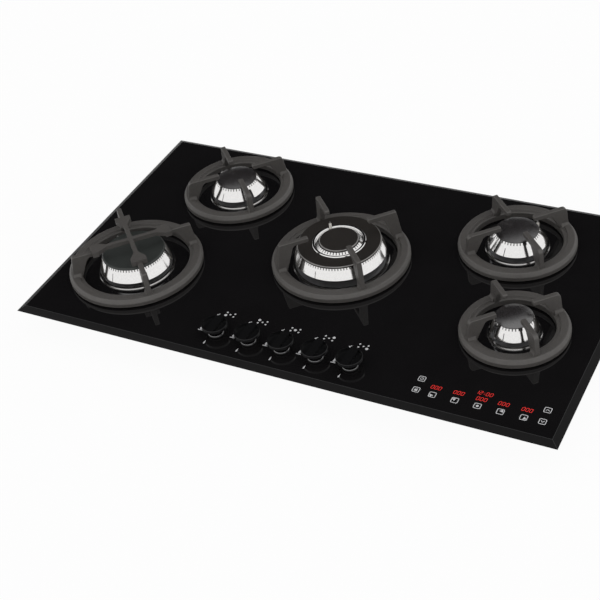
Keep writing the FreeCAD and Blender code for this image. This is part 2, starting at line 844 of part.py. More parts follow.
def adaptor():
    """Cross for small pans: four arms that flare into saddles astride the left fingers."""
    b = left
    top = b.finger_z + saddle_rise
    near = saddle_reach - saddle_length
    thin, wide = adaptor_arm_width / 2, saddle_width / 2
    slot = finger_thickness / 2 + saddle_slot_clearance
    half_plan = [(0, thin), (near - saddle_flare, thin), (near, wide), (saddle_reach, wide)]
    plan = [Vec(x, y, 0) for x, y in half_plan] + [Vec(x, -y, 0) for x, y in reversed(half_plan)]
    arm = Part.Face(Part.makePolygon(plan + plan[:1])).extrude(Vec(0, 0, adaptor_arm_depth))
    arm.translate(Vec(0, 0, top - adaptor_arm_depth))
    low = b.finger_z - saddle_drop
    arm = arm.fuse(block(near, -wide, low, saddle_reach, wide, top))
    arm = arm.cut(block(b.tip_r - lap, -slot, low - lap, saddle_reach + lap, slot, b.finger_z))
    body = rod(adaptor_hub_r, top - adaptor_arm_depth, top)
    for angle in finger_angles:
        copy = arm.copy()
        copy.rotate(Vec(0, 0, 0), UP, angle)
        body = body.fuse(copy)
    return body.translated(b.at).removeSplitter()


# ---------------------------------------------------------------- knobs and valves
knob_bottom = glass_top - knob_neck_depth
knob_foot = glass_top + bezel_thickness + knob_travel + bezel_gap
knob_top = glass_top + knob_height
valve_top = glass_bottom - valve_drop
valve_bottom = valve_top - valve_height
plug_bottom = valve_bottom + plug_floor
plug_top = plug_bottom + plug_height
spring_top = plug_top + 2 * spring_seat_gap + spring_room
spindle_low = plug_top - spindle_grip + knob_travel


def knob(at):
    """Disc on a flared foot, hollowed on both sides of a straight grip, with a spindle socket."""
    neck = knob_hole_r - knob_neck_clearance
    disc_low = glass_top + knob_disc_low
    body = spun_outline([(0, knob_bottom, 0), (neck, knob_bottom, 0), (neck, knob_foot, 0),
                         (knob_foot_r, knob_foot, knob_foot_round),
                         (knob_foot_r, knob_foot + knob_foot_rim, knob_foot_round),
                         (knob_disc_r, disc_low, knob_rim_round),
                         (knob_disc_r, knob_top, knob_rim_round), (0, knob_top, 0)])
    side = knob_grip_width / 2
    hollow_low = knob_top - knob_recess_depth
    hollow = rod(knob_disc_r - knob_rim_width, hollow_low, knob_top + lap)
    grip_lines = []
    for z, half in ((hollow_low, side + knob_grip_round), (knob_top, side)):
        corners = [Vec(-half, -knob_disc_r, z), Vec(half, -knob_disc_r, z),
                   Vec(half, knob_disc_r, z), Vec(-half, knob_disc_r, z)]
        grip_lines.append(Part.makePolygon(corners + corners[:1]))
    grip = Part.makeLoft(grip_lines, True, True)
    grip = grip.fuse(block(-side, -knob_disc_r, knob_top, side, knob_disc_r, knob_top + lap))
    body = body.cut(hollow.cut(grip))
    body = body.cut(rod(spindle_r, knob_bottom, knob_bottom + knob_socket_depth))
    end = knob_disc_r - knob_rim_width
    line = block(-knob_pointer_width / 2, end - knob_pointer_length,
                 knob_top - knob_pointer_depth, knob_pointer_width / 2, end, knob_top + lap)
    return body.cut(line).translated(at).removeSplitter()


def spindle(at):
    """Valve spindle: slides in the plug, carries the spring's collar and the knob."""
    stem = rod(spindle_r, spindle_low, knob_bottom + knob_socket_depth, at)
    return stem.fuse(rod(collar_r, spring_top, spring_top + collar_thickness, at))


def valve_plug(at):
    bore = spindle_r + turning_clearance
    return tube(plug_r, bore, plug_bottom, plug_top, at).fuse(
        rod(plug_r, plug_bottom, plug_bottom + plug_floor / 2, at)).removeSplitter()


def valve_body(at):
    half = valve_width / 2
    body = block(-half, -half, valve_bottom, half, half, valve_top)
    bore = plug_r + turning_clearance
    return body.cut(rod(bore, plug_bottom - turning_clearance, valve_top)).translated(at)


def bezel(at):
    top = glass_top + bezel_thickness
    return spun_outline([(knob_hole_r, glass_top, 0), (bezel_r, glass_top, 0),
                         (bezel_r, top, bezel_round), (knob_hole_r, top, 0)], at)


def return_spring(at):
    low = plug_top + spring_wire_r + spring_seat_gap
    high = spring_top - spring_wire_r - spring_seat_gap
    return coil(at, low, high, spring_coil_r, spring_wire_r, spring_turns)


# ---------------------------------------------------------------- gas rail, pipes and inlet
rail_front = knob_row_y + valve_width / 2
rail_x0 = knob_places[0].x - rail_overhang
rail_x1 = knob_places[-1].x + rail_overhang
rail_middle = Vec(0, rail_front + rail_size / 2, valve_bottom + rail_size / 2)
front_lane = rail_front + pipe_front_gap
back_lane = rail_front + pipe_back_gap


def gas_rail():
    low = valve_bottom
    rail = block(rail_x0, rail_front, low, rail_x1, rail_front + rail_size, low + rail_size)
    hollow = block(rail_x0 + rail_wall, rail_front + rail_wall, low + rail_wall,
                   rail_x1 - rail_wall, rail_front + rail_size - rail_wall,
                   low + rail_size - rail_wall)
    return rail.cut(hollow)


def burner_pipe(knob_at, b, lanes):
    """Pipe from a valve's back, over the rail, to the boss on the burner's cup."""
    end = b.at.y - b.cup_r - pipe_boss_reach
    corners = [(knob_at.x, rail_front)] + lanes + [(b.at.x, end)]
    return bent_tube([Vec(x, y, pipe_level) for x, y in corners], pipe_r, pipe_bend)


def gas_pipes():
    k = knob_places
    pipes = [
        burner_pipe(k[0], left, [(k[0].x, front_lane), (left.at.x, front_lane)]),
        burner_pipe(k[1], back_left, [(k[1].x, back_lane), (-pipe_side_x, back_lane),
                                      (-pipe_side_x, pipe_cross_y), (back_left.at.x, pipe_cross_y)]),
        burner_pipe(k[2], wok, [(k[2].x, wok_pipe_front_y), (wok.at.x, wok_pipe_back_y)]),
        burner_pipe(k[3], back_right, [(k[3].x, back_lane), (pipe_side_x, back_lane),
                                       (pipe_side_x, pipe_cross_y), (back_right.at.x, pipe_cross_y)]),
        burner_pipe(k[4], front_right, [(k[4].x, front_lane), (front_right.at.x, front_lane)])]
    y = rail_middle.y
    supply = [Vec(rail_x1, y, rail_middle.z), Vec(rail_x1 + supply_run_out, y, rail_middle.z),
              Vec(rail_x1 + supply_run_out + supply_fall_run, y, inlet_level),
              Vec(inlet_x, y, inlet_level),
              Vec(inlet_x, inlet_block_back - inlet_block_depth, inlet_level)]
    pipes.append(bent_tube(supply, supply_pipe_r, supply_bend))
    return pipes


def gas_inlet():
    """Block on the tray's floor with a threaded stub out through the back wall, bored through."""
    half = inlet_block_width / 2
    front = inlet_block_back - inlet_block_depth
    shoulder = inlet_reach - inlet_thread_length
    holder = block(inlet_x - half, front, tray_floor, inlet_x + half, inlet_block_back,
                   inlet_level + half)
    stub = Part.makeCylinder(inlet_shoulder_r, shoulder - inlet_block_back + lap,
                             Vec(inlet_x, inlet_block_back - lap, inlet_level), Vec(0, 1, 0))
    thread = Part.makeCylinder(inlet_thread_r, inlet_thread_length,
                               Vec(inlet_x, shoulder, inlet_level), Vec(0, 1, 0))
    bore_r = supply_pipe_r - pipe_wall
    bore = Part.makeCylinder(bore_r, inlet_reach - front, Vec(inlet_x, front, inlet_level),
                             Vec(0, 1, 0))
    return holder.fuse(stub).fuse(thread).cut(bore).removeSplitter()


# ---------------------------------------------------------------- brackets and electrics
def burner_bracket(b):
    """Folded strap that carries the burner's flange on two legs from the tray's floor."""
    reach = b.flange_r + bracket_margin
    half = bracket_width / 2
    t = bracket_thickness
    top = flange_bottom
    strap = block(-reach, -half, top - t, reach, half, top)
    for s in (-1, 1):
        x0, x1 = sorted((s * reach, s * (reach - t)))
        strap = strap.fuse(block(x0, -half, tray_floor, x1, half, top))
        x0, x1 = sorted((s * reach, s * (reach - bracket_foot)))
        strap = strap.fuse(block(x0, -half, tray_floor, x1, half, tray_floor + t))
    strap = strap.cut(rod(b.cup_r + bracket_cup_clearance, top - t - lap, top + lap))
    for s in (-1, 1):
        strap = strap.cut(rod(screw_r, tray_floor - lap, tray_floor + t + lap,
                              Vec(s * (reach - bracket_foot / 2), 0, 0)))
    return strap.translated(b.at).removeSplitter()


def bracket_screws(b):
    """Round-headed screws through the strap's feet, one a side."""
    reach = b.flange_r + bracket_margin - bracket_foot / 2
    head_low = tray_floor + bracket_thickness
    screws = []
    for s in (-1, 1):
        at = b.at + Vec(s * reach, 0, 0)
        screw = rod(screw_r, tray_floor, head_low, at)
        screws.append(screw.fuse(rod(screw_head_r, head_low, head_low + screw_head_height, at)))
    return screws


def spark_box():
    x, y = spark_box_corner
    w, d, h = spark_box_size
    return block(x, y, tray_floor, x + w, y + d, tray_floor + h)


def ignition_leads():
    side = spark_box_corner[0] + spark_box_size[0]
    front = spark_box_corner[1]
    foot = {b.name: b.polar(b.spark_r, b.spark_angle, 0) for b in burners}
    return [
        spark_lead(left, [(foot["left"].x, front)]),
        spark_lead(back_left, [(side, foot["back_left"].y)]),
        spark_lead(wok, [(side, wok_lead_y), (wok_lead_x, wok_lead_y),
                         (wok_lead_x, foot["wok"].y)]),
        spark_lead(back_right, [(side, back_right_lead_y),
                                (foot["back_right"].x, back_right_lead_y)]),
        spark_lead(front_right, [(side, front_right_lead_y),
                                 (front_right_lead_x, front_right_lead_y),
                                 (front_right_lead_x, foot["front_right"].y)])]


def thermocouples():
    k = knob_places
    low, high = probe_lead_level, probe_lead_high_level
    foot = {b.name: b.polar(b.probe_r, b.probe_angle, 0) for b in burners}
    return [
        probe(left, [(left_probe_x, foot["left"].y), (left_probe_x, near_probe_y)], low, k[0]),
        probe(back_left, [(foot["back_left"].x, back_left_probe_y),
                          (-inner_probe_x, back_left_probe_y),
                          (-inner_probe_x, far_probe_y)], high, k[1]),
        probe(wok, [(wok_probe_x, foot["wok"].y), (wok_probe_x, wok_probe_y)], high, k[2]),
        probe(back_right, [(foot["back_right"].x, back_right_probe_y),
                           (inner_probe_x, back_right_probe_y),
                           (inner_probe_x, near_probe_y)], low, k[3]),
        probe(front_right, [(foot["front_right"].x, far_probe_y)], high, k[4])]


def touch_board():
    """Circuit board with one sensor post under each touch key."""
    x, y = board_corner
    w, d = board_size
    top = glass_bottom - display_height
    board = block(x, y, top - board_thickness, x + w, y + d, top)
    posts = [(zone_key_x + i * zone_key_pitch, key_row_y) for i in range(zone_key_count)]
    for key_x in (lock_key_x, level_key_x):
        posts += [(key_x, key_row_y), (key_x, key_row_y + key_rise)]
    for px, py in posts:
        board = board.fuse(rod(key_sensor_r, top - board_thickness, glass_bottom, Vec(px, py, 0)))
    return board.removeSplitter()


def display_module():
    x, y = board_corner
    dx, dy = display_offset
    w, d = display_size
    return block(x + dx, y + dy, glass_bottom - display_height, x + dx + w, y + dy + d,
                 glass_bottom)


def cable_gland():
    at = Vec(gland_x, gland_y, 0)
    body = rod(gland_r, 0, gland_height, at)
    collar = rod(gland_collar_r, tray_floor, tray_floor + gland_collar_height, at)
    return body.fuse(collar).cut(rod(gland_bore_r, 0, gland_height, at)).removeSplitter()


# ---------------------------------------------------------------- write every node
save("glass_top", glass_plate())
save("base_tray", tray())
save("edge_seal", seal())

save("wok_burner_base", burner_base(wok))
save("rapid_burner_base", burner_base(left))
save("semi_rapid_burner_bases", Part.Compound([burner_base(b) for b in (back_left, back_right)]))
save("auxiliary_burner_base", burner_base(front_right))
save("burner_trim_rings", Part.Compound([trim_ring(b) for b in burners]))
save("burner_gaskets", Part.Compound([
    tube(b.flange_r, b.hole_r + hole_clearance, flange_top, glass_bottom, b.at)
    for b in burners]))
save("gas_jets", Part.Compound([jet(b) for b in burners]))
save("burner_brackets", Part.Compound([burner_bracket(b) for b in burners]))
save("bracket_screws", Part.Compound([s for b in burners for s in bracket_screws(b)]))

for burner in burners:
    if burner is not wok:
        save(burner.name + "_burner_crown", crown(burner))
        save(burner.name + "_burner_cap", cap(burner, cap_thickness))
    save(burner.name + "_pan_support", pan_support(burner))
save("wok_burner_crown", wok_crown())
save("wok_burner_cap", wok_cap())
save("wok_inner_crown", wok_inner_crown())
save("wok_inner_cap", wok_inner_cap())
save("support_pads", Part.Compound(support_pads()))
save("small_pan_adaptor", adaptor())

save("spark_electrode_ceramics", Part.Compound([electrode_ceramic(b) for b in burners]))
save("spark_electrode_pins", Part.Compound([electrode_pin(b) for b in burners]))
save("thermocouples", Part.Compound(thermocouples()))
save("spark_generator", spark_box())
save("ignition_leads", Part.Compound(ignition_leads()))

for number, place in enumerate(knob_places, 1):
    save("knob_%d" % number, knob(place))
    save("valve_spindle_%d" % number, spindle(place))
    save("valve_plug_%d" % number, valve_plug(place))
save("knob_bezels", Part.Compound([bezel(p) for p in knob_places]))
save("valve_bodies", Part.Compound([valve_body(p) for p in knob_places]))
save("knob_return_springs", Part.Compound([return_spring(p) for p in knob_places]))

save("gas_rail", gas_rail())
save("gas_pipes", Part.Compound(gas_pipes()))
save("gas_inlet", gas_inlet())
save("touch_control_board", touch_board())
save("display_module", display_module())
save("cable_gland", cable_gland())
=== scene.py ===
import json
from math import atan2, cos, pi, radians, sin

import bpy
from mathutils import Matrix, Vector


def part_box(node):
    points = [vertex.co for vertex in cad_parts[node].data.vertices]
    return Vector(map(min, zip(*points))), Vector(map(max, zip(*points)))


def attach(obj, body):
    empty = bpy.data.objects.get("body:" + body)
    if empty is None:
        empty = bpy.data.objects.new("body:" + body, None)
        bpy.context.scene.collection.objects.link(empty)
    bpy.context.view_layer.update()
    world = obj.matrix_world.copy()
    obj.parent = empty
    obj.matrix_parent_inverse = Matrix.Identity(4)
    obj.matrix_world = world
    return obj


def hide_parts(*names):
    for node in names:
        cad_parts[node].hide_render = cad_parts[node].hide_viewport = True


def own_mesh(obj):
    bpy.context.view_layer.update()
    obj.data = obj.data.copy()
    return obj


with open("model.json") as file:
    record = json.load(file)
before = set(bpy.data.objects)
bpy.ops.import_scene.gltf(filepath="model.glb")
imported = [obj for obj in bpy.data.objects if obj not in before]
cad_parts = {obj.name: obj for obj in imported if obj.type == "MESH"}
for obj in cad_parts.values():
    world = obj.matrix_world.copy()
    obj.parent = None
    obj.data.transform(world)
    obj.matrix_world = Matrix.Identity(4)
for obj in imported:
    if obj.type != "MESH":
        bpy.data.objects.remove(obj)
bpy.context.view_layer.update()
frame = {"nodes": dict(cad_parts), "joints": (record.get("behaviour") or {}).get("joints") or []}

# ---------------------------------------------------------------- studio
# A pale floor and a white surround that lights the part softly from all round. One dark flag
# hangs behind the part, where the black glass mirrors it towards the front. The camera itself
# sees white there.
bpy.context.scene.view_settings.view_transform = "Standard"

view_turn = radians(32.5287)
view_height = radians(38.8890)
view_roll = radians(-8.9878)
view_distance = 2.06102
view_target = Vector((-0.02189, -0.08984, 0.0507))
view_lens = 79.286
sensor = 36.0

backwards = Vector((sin(view_turn) * cos(view_height), -cos(view_turn) * cos(view_height),
                    sin(view_height)))
level_right = (-backwards).cross(Vector((0, 0, 1))).normalized()
level_up = level_right.cross(-backwards)
camera_right = level_right * cos(view_roll) + level_up * sin(view_roll)
camera_up = level_up * cos(view_roll) - level_right * sin(view_roll)
camera_place = Matrix((camera_right, camera_up, backwards)).transposed().to_4x4()
camera_place.translation = view_target + backwards * view_distance
bpy.ops.object.camera_add()
camera = bpy.context.object
camera.name = "photo_camera"
camera.matrix_world = camera_place
camera.data.sensor_width = sensor
camera.data.lens = view_lens
camera.data.dof.use_dof = False
bpy.context.scene.camera = camera

floor_size = 60.0
floor_gap = 0.0002
floor_colour = (0.92, 0.92, 0.92, 1.0)
floor_share = 0.94
bpy.ops.mesh.primitive_plane_add(size=floor_size, location=(0, 0, -floor_gap))
floor = bpy.context.object
floor.name = "studio_floor"
floor_finish = bpy.data.materials.new("studio_floor_paint")
floor_finish.use_nodes = True
floor_nodes = floor_finish.node_tree.nodes
floor_links = floor_finish.node_tree.links
floor_nodes.clear()
floor_out = floor_nodes.new("ShaderNodeOutputMaterial")
floor_paint = floor_nodes.new("ShaderNodeBsdfDiffuse")
floor_paint.inputs["Color"].default_value = floor_colour
floor_white = floor_nodes.new("ShaderNodeEmission")
floor_mix = floor_nodes.new("ShaderNodeMixShader")
floor_path = floor_nodes.new("ShaderNodeLightPath")
floor_seen = floor_nodes.new("ShaderNodeMath")
floor_seen.operation = "MAXIMUM"
floor_any = floor_nodes.new("ShaderNodeMath")
floor_any.operation = "MAXIMUM"
floor_part = floor_nodes.new("ShaderNodeMath")
floor_part.operation = "MULTIPLY"
floor_part.inputs[1].default_value = floor_share
floor_links.new(floor_path.outputs["Is Camera Ray"], floor_seen.inputs[0])
floor_links.new(floor_path.outputs["Is Glossy Ray"], floor_seen.inputs[1])
floor_links.new(floor_seen.outputs[0], floor_any.inputs[0])
floor_links.new(floor_path.outputs["Is Transmission Ray"], floor_any.inputs[1])
floor_links.new(floor_any.outputs[0], floor_part.inputs[0])
floor_links.new(floor_part.outputs[0], floor_mix.inputs["Fac"])
floor_links.new(floor_paint.outputs[0], floor_mix.inputs[1])
floor_links.new(floor_white.outputs[0], floor_mix.inputs[2])
floor_links.new(floor_mix.outputs[0], floor_out.inputs["Surface"])
floor.data.materials.append(floor_finish)

flag_height = radians(30)
flag_middle = Vector((-sin(view_turn) * cos(flag_height), cos(view_turn) * cos(flag_height),
                      sin(flag_height)))
flag_inner = cos(radians(26))
flag_outer = cos(radians(42))
surround_white = (0.95, 0.95, 0.95, 1.0)
surround_dark = (0.010, 0.010, 0.011, 1.0)
world = bpy.data.worlds.new("studio_surround")
bpy.context.scene.world = world
world.use_nodes = True
world_nodes = world.node_tree.nodes
world_link = world.node_tree.links.new
world_direction = world_nodes.new("ShaderNodeTexCoord")
world_dot = world_nodes.new("ShaderNodeVectorMath")
world_dot.operation = "DOT_PRODUCT"
world_dot.inputs[1].default_value = flag_middle
world_range = world_nodes.new("ShaderNodeMapRange")
world_range.interpolation_type = "SMOOTHSTEP"
world_range.inputs["From Min"].default_value = flag_outer
world_range.inputs["From Max"].default_value = flag_inner
world_path = world_nodes.new("ShaderNodeLightPath")
world_unseen = world_nodes.new("ShaderNodeMath")
world_unseen.operation = "SUBTRACT"
world_unseen.use_clamp = True
world_mix = world_nodes.new("ShaderNodeMix")
world_mix.data_type = "RGBA"
world_mix.inputs["A"].default_value = surround_white
world_mix.inputs["B"].default_value = surround_dark
world_link(world_direction.outputs["Generated"], world_dot.inputs[0])
world_link(world_dot.outputs["Value"], world_range.inputs["Value"])
world_link(world_range.outputs["Result"], world_unseen.inputs[0])
world_link(world_path.outputs["Is Camera Ray"], world_unseen.inputs[1])
world_link(world_unseen.outputs[0], world_mix.inputs["Factor"])
world_link(world_mix.outputs["Result"], world_nodes["Background"].inputs["Color"])

# ---------------------------------------------------------------- steel tray
# Folded tray of galvanised sheet under the glass. The zinc coat shows as overlapping
# crystals of slightly different grey, with fine rolling grain between them.
crystal_scale = 95.0
crystal_darkest = 0.75
crystal_lightest = 1.1


def shader_group(name, inputs, outputs):
    """Empty shader group with its sockets, each given as a name and a kind of value."""
    group = bpy.data.node_groups.new(name, "ShaderNodeTree")
    for way, sockets in (("INPUT", inputs), ("OUTPUT", outputs)):
        for socket, kind in sockets:
            group.interface.new_socket(name=socket, in_out=way,
                                       socket_type="NodeSocket" + kind)
    return group


fine_grain = shader_group(
    "fine_grain",
    (("Dark", "Color"), ("Light", "Color"), ("Low", "Float"), ("High", "Float"),
     ("Scale", "Float")),
    (("Colour", "Color"), ("Rough", "Float"), ("Height", "Float")))
grain_in = fine_grain.nodes.new("NodeGroupInput")
grain_out = fine_grain.nodes.new("NodeGroupOutput")
grain_place = fine_grain.nodes.new("ShaderNodeTexCoord")
grain_broad = fine_grain.nodes.new("ShaderNodeTexNoise")
grain_broad.inputs["Detail"].default_value = 5.0
grain_broad.inputs["Roughness"].default_value = 0.6
grain_times = fine_grain.nodes.new("ShaderNodeMath")
grain_times.operation = "MULTIPLY"
grain_times.inputs[1].default_value = 5.3
grain_tight = fine_grain.nodes.new("ShaderNodeTexNoise")
grain_tight.inputs["Detail"].default_value = 3.0
grain_colour = fine_grain.nodes.new("ShaderNodeMix")
grain_colour.data_type = "RGBA"
grain_range = fine_grain.nodes.new("ShaderNodeMapRange")
grain_range.inputs["From Min"].default_value = 0.3
grain_range.inputs["From Max"].default_value = 0.7
grain_link = fine_grain.links.new
grain_link(grain_place.outputs["Object"], grain_broad.inputs["Vector"])
grain_link(grain_place.outputs["Object"], grain_tight.inputs["Vector"])
grain_link(grain_in.outputs["Scale"], grain_broad.inputs["Scale"])
grain_link(grain_in.outputs["Scale"], grain_times.inputs[0])
grain_link(grain_times.outputs[0], grain_tight.inputs["Scale"])
grain_link(grain_broad.outputs["Fac"], grain_colour.inputs["Factor"])
grain_link(grain_in.outputs["Dark"], grain_colour.inputs["A"])
grain_link(grain_in.outputs["Light"], grain_colour.inputs["B"])
grain_link(grain_tight.outputs["Fac"], grain_range.inputs["Value"])
grain_link(grain_in.outputs["Low"], grain_range.inputs["To Min"])
grain_link(grain_in.outputs["High"], grain_range.inputs["To Max"])
grain_link(grain_colour.outputs["Result"], grain_out.inputs["Colour"])
grain_link(grain_range.outputs["Result"], grain_out.inputs["Rough"])
grain_link(grain_tight.outputs["Fac"], grain_out.inputs["Height"])


def grained(name, dark, light, low, high, scale, bump, metallic=0.0):
    """Material whose colour, roughness and fine relief vary with the grain group."""
    material = bpy.data.materials.new(name)
    material.use_nodes = True
    nodes, link = material.node_tree.nodes, material.node_tree.links.new
    shader = nodes["Principled BSDF"]
    shader.inputs["Metallic"].default_value = metallic
    grain = nodes.new("ShaderNodeGroup")
    grain.name = "grain"
    grain.node_tree = fine_grain
    grain.inputs["Dark"].default_value = (*dark, 1.0)
    grain.inputs["Light"].default_value = (*light, 1.0)
    grain.inputs["Low"].default_value = low
    grain.inputs["High"].default_value = high
    grain.inputs["Scale"].default_value = scale
    relief = nodes.new("ShaderNodeBump")
    relief.name = "relief"
    relief.inputs["Distance"].default_value = bump
    link(grain.outputs["Colour"], shader.inputs["Base Color"])
    link(grain.outputs["Rough"], shader.inputs["Roughness"])
    link(grain.outputs["Height"], relief.inputs["Height"])
    link(relief.outputs["Normal"], shader.inputs["Normal"])
    return material


def adjust(material, socket, value):
    """Set one input of a material's shader."""
    material.node_tree.nodes["Principled BSDF"].inputs[socket].default_value = value


def dress(material, *names):
    """Give CAD nodes that keep their shape a material."""
    for name in names:
        for place in frame["nodes"][name].material_slots:
            place.material = material


zinc = grained("zinc_coat", (0.42, 0.43, 0.45), (0.60, 0.61, 0.62), 0.28, 0.46, 60, 0.0002, 1.0)
zinc_nodes, zinc_link = zinc.node_tree.nodes, zinc.node_tree.links.new
crystal_place = zinc_nodes.new("ShaderNodeTexCoord")
crystals = zinc_nodes.new("ShaderNodeTexVoronoi")
crystals.inputs["Scale"].default_value = crystal_scale
crystal_grey = zinc_nodes.new("ShaderNodeMapRange")
crystal_grey.inputs["To Min"].default_value = crystal_darkest
crystal_grey.inputs["To Max"].default_value = crystal_lightest
crystal_tint = zinc_nodes.new("ShaderNodeMix")
crystal_tint.data_type = "RGBA"
crystal_tint.blend_type = "MULTIPLY"
crystal_tint.inputs["Factor"].default_value = 1.0
zinc_link(crystal_place.outputs["Object"], crystals.inputs["Vector"])
zinc_link(crystals.outputs["Color"], crystal_grey.inputs["Value"])
zinc_link(zinc_nodes["grain"].outputs["Colour"], crystal_tint.inputs["A"])
zinc_link(crystal_grey.outputs["Result"], crystal_tint.inputs["B"])
zinc_link(crystal_tint.outputs["Result"], zinc_nodes["Principled BSDF"].inputs["Base Color"])
dress(zinc, "base_tray")

# ---------------------------------------------------------------- sealing strip
# Closed-cell foam strip stuck round the underside of the glass. It is soft, matt and
# finely pitted, and is squeezed between the glass and the worktop.
foam = grained("seal_foam", (0.022, 0.022, 0.023), (0.05, 0.05, 0.052), 0.85, 0.97, 900, 0.0003)
dress(foam, "edge_seal")

# ---------------------------------------------------------------- burner bodies below
# Die-cast aluminium cups clamped in the glass with fibre gaskets, a turned brass jet in each,
# held by folded, zinc-plated straps and their screws.
casting = grained("cast_aluminium", (0.36, 0.36, 0.37), (0.50, 0.50, 0.51), 0.38, 0.58, 420,
                  0.0004, 1.0)
dress(casting, "wok_burner_base", "rapid_burner_base", "semi_rapid_burner_bases",
      "auxiliary_burner_base", "valve_bodies")
gasket_fibre = grained("gasket_fibre", (0.06, 0.06, 0.06), (0.13, 0.125, 0.12), 0.8, 0.95, 700,
                       0.0002)
dress(gasket_fibre, "burner_gaskets")
turned_brass = grained("turned_brass", (0.60, 0.42, 0.18), (0.78, 0.58, 0.28), 0.18, 0.34, 350,
                       0.0001, 1.0)
dress(turned_brass, "gas_jets", "gas_inlet", *["valve_plug_%d" % i for i in range(1, 6)])
plated = grained("zinc_plating", (0.46, 0.47, 0.50), (0.62, 0.62, 0.63), 0.25, 0.42, 240,
                 0.0001, 1.0)
dress(plated, "burner_brackets", "bracket_screws", "gas_rail")

# ---------------------------------------------------------------- gas pipes and valve train
# Drawn aluminium pipes run from each valve to its cup. Inside each valve a brass plug turns,
# and a steel spindle slides in it against a coil spring.
drawn_pipe = grained("drawn_pipe", (0.52, 0.52, 0.54), (0.66, 0.66, 0.67), 0.22, 0.40, 300,
                     0.0001, 1.0)
dress(drawn_pipe, "gas_pipes")
bright_steel = grained("bright_steel", (0.50, 0.50, 0.51), (0.66, 0.66, 0.66), 0.16, 0.30, 500,
                       0.00005, 1.0)
dress(bright_steel, "thermocouples", "spark_electrode_pins",
      *["valve_spindle_%d" % i for i in range(1, 6)])

# ---------------------------------------------------------------- ignition and electronics
# Moulded spark box and cable gland, silicone-covered leads, a green circuit board with its
# sensor posts, and the smoked window of the display pressed against the glass.
moulding = grained("moulded_black", (0.030, 0.030, 0.032), (0.055, 0.055, 0.058), 0.45, 0.62,
                   800, 0.0003)
dress(moulding, "spark_generator", "cable_gland")
lead_cover = grained("lead_cover", (0.42, 0.37, 0.30), (0.58, 0.52, 0.43), 0.5, 0.7, 260, 0.0001)
dress(lead_cover, "ignition_leads")
solder_mask = grained("solder_mask", (0.010, 0.09, 0.045), (0.02, 0.15, 0.07), 0.28, 0.42, 220,
                      0.0001)
dress(solder_mask, "touch_control_board")
smoked = grained("smoked_window", (0.010, 0.006, 0.006), (0.02, 0.012, 0.012), 0.12, 0.2, 150,
                 0.00003)
dress(smoked, "display_module")

# ---------------------------------------------------------------- glass plate
# One sheet of toughened glass, black from behind, with a wide ground bevel on all four sides
# and drilled holes. The bevel is matt. Its rounded upper crease is painted paler along the front
# and the right only, a painted highlight for the light that the crease catches there.
plate_low, plate_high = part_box("glass_top")
plate_size = plate_high - plate_low
bevel_width = 0.0108
bevel_land = 0.0007
crease_round = 0.0007
crease_steps = 3
crease_angle = radians(15)
painted_highlight_reach = 0.02
smooth_angle = radians(12)
hole_sides = 128
hole_clearance = 0.0015
knob_hole_r = 0.008
drill_depth = 0.03
facing_up = 0.9
crease_lowest = 0.92
crease_highest = 0.998
bevel_lowest = -0.5
glass_ior = 1.7
glass_mirror = 0.7
bevel_mirror = 0.1
crease_mirror = 0.05
knob_axes = [Vector(j["pos_m"]) for j in frame["joints"] if j["name"].endswith("_turn")]
burner_names = ("left", "back_left", "wok", "back_right", "front_right")


def middle(node):
    """Centre of a node's box, on the level of the glass's top."""
    low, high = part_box(node)
    return Vector(((low.x + high.x) / 2, (low.y + high.y) / 2, plate_high.z))


def across(node):
    """Width of a node's box."""
    low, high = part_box(node)
    return high.x - low.x


def only(piece):
    """Leave one object selected and active."""
    bpy.ops.object.select_all(action="DESELECT")
    piece.select_set(True)
    bpy.context.view_layer.objects.active = piece


def settle(piece):
    """Move an object's place and size into its mesh."""
    only(piece)
    bpy.ops.object.transform_apply(location=True, rotation=True, scale=True)


def joined(name, pieces):
    """Join loose pieces into one object at the origin."""
    for piece in pieces:
        settle(piece)
    bpy.ops.object.select_all(action="DESELECT")
    for piece in pieces:
        piece.select_set(True)
    bpy.context.view_layer.objects.active = pieces[0]
    bpy.ops.object.join()
    pieces[0].name = name
    return pieces[0]


burner_at = {name: middle(name + "_burner_crown") for name in burner_names}
bpy.ops.mesh.primitive_cube_add(size=1, location=(0, 0, plate_low.z + bevel_land / 2))
plate = bpy.context.object
plate.name = "bevelled_glass"
plate.scale = (plate_size.x, plate_size.y, bevel_land)
settle(plate)
bpy.ops.object.mode_set(mode="EDIT")
bpy.ops.mesh.select_all(action="DESELECT")
bpy.ops.object.mode_set(mode="OBJECT")
for face in plate.data.polygons:
    face.select = face.normal.z > facing_up
bpy.ops.object.mode_set(mode="EDIT")
bpy.ops.mesh.extrude_region_move(
    TRANSFORM_OT_translate={"value": (0, 0, plate_size.z - bevel_land)})
bpy.ops.transform.resize(value=(1 - 2 * bevel_width / plate_size.x,
                                1 - 2 * bevel_width / plate_size.y, 1))
bpy.ops.object.mode_set(mode="OBJECT")
only(plate)
crease = plate.modifiers.new("crease", "BEVEL")
crease.width = crease_round
crease.segments = crease_steps
crease.limit_method = "ANGLE"
crease.angle_limit = crease_angle
bpy.ops.object.modifier_apply(modifier="crease")
drills = []
for name in burner_names:
    hole_r = across(name + "_burner_crown") / 2 + hole_clearance
    bpy.ops.mesh.primitive_cylinder_add(vertices=hole_sides, radius=hole_r, depth=drill_depth,
                                        location=burner_at[name])
    drills.append(bpy.context.object)
for axis in knob_axes:
    bpy.ops.mesh.primitive_cylinder_add(vertices=hole_sides // 2, radius=knob_hole_r,
                                        depth=drill_depth,
                                        location=(axis.x, axis.y, plate_high.z))
    drills.append(bpy.context.object)
drill = joined("drills", drills)
only(plate)
holes = plate.modifiers.new("holes", "BOOLEAN")
holes.operation = "DIFFERENCE"
holes.solver = "EXACT"
holes.object = drill
bpy.ops.object.modifier_apply(modifier="holes")
bpy.data.objects.remove(drill)
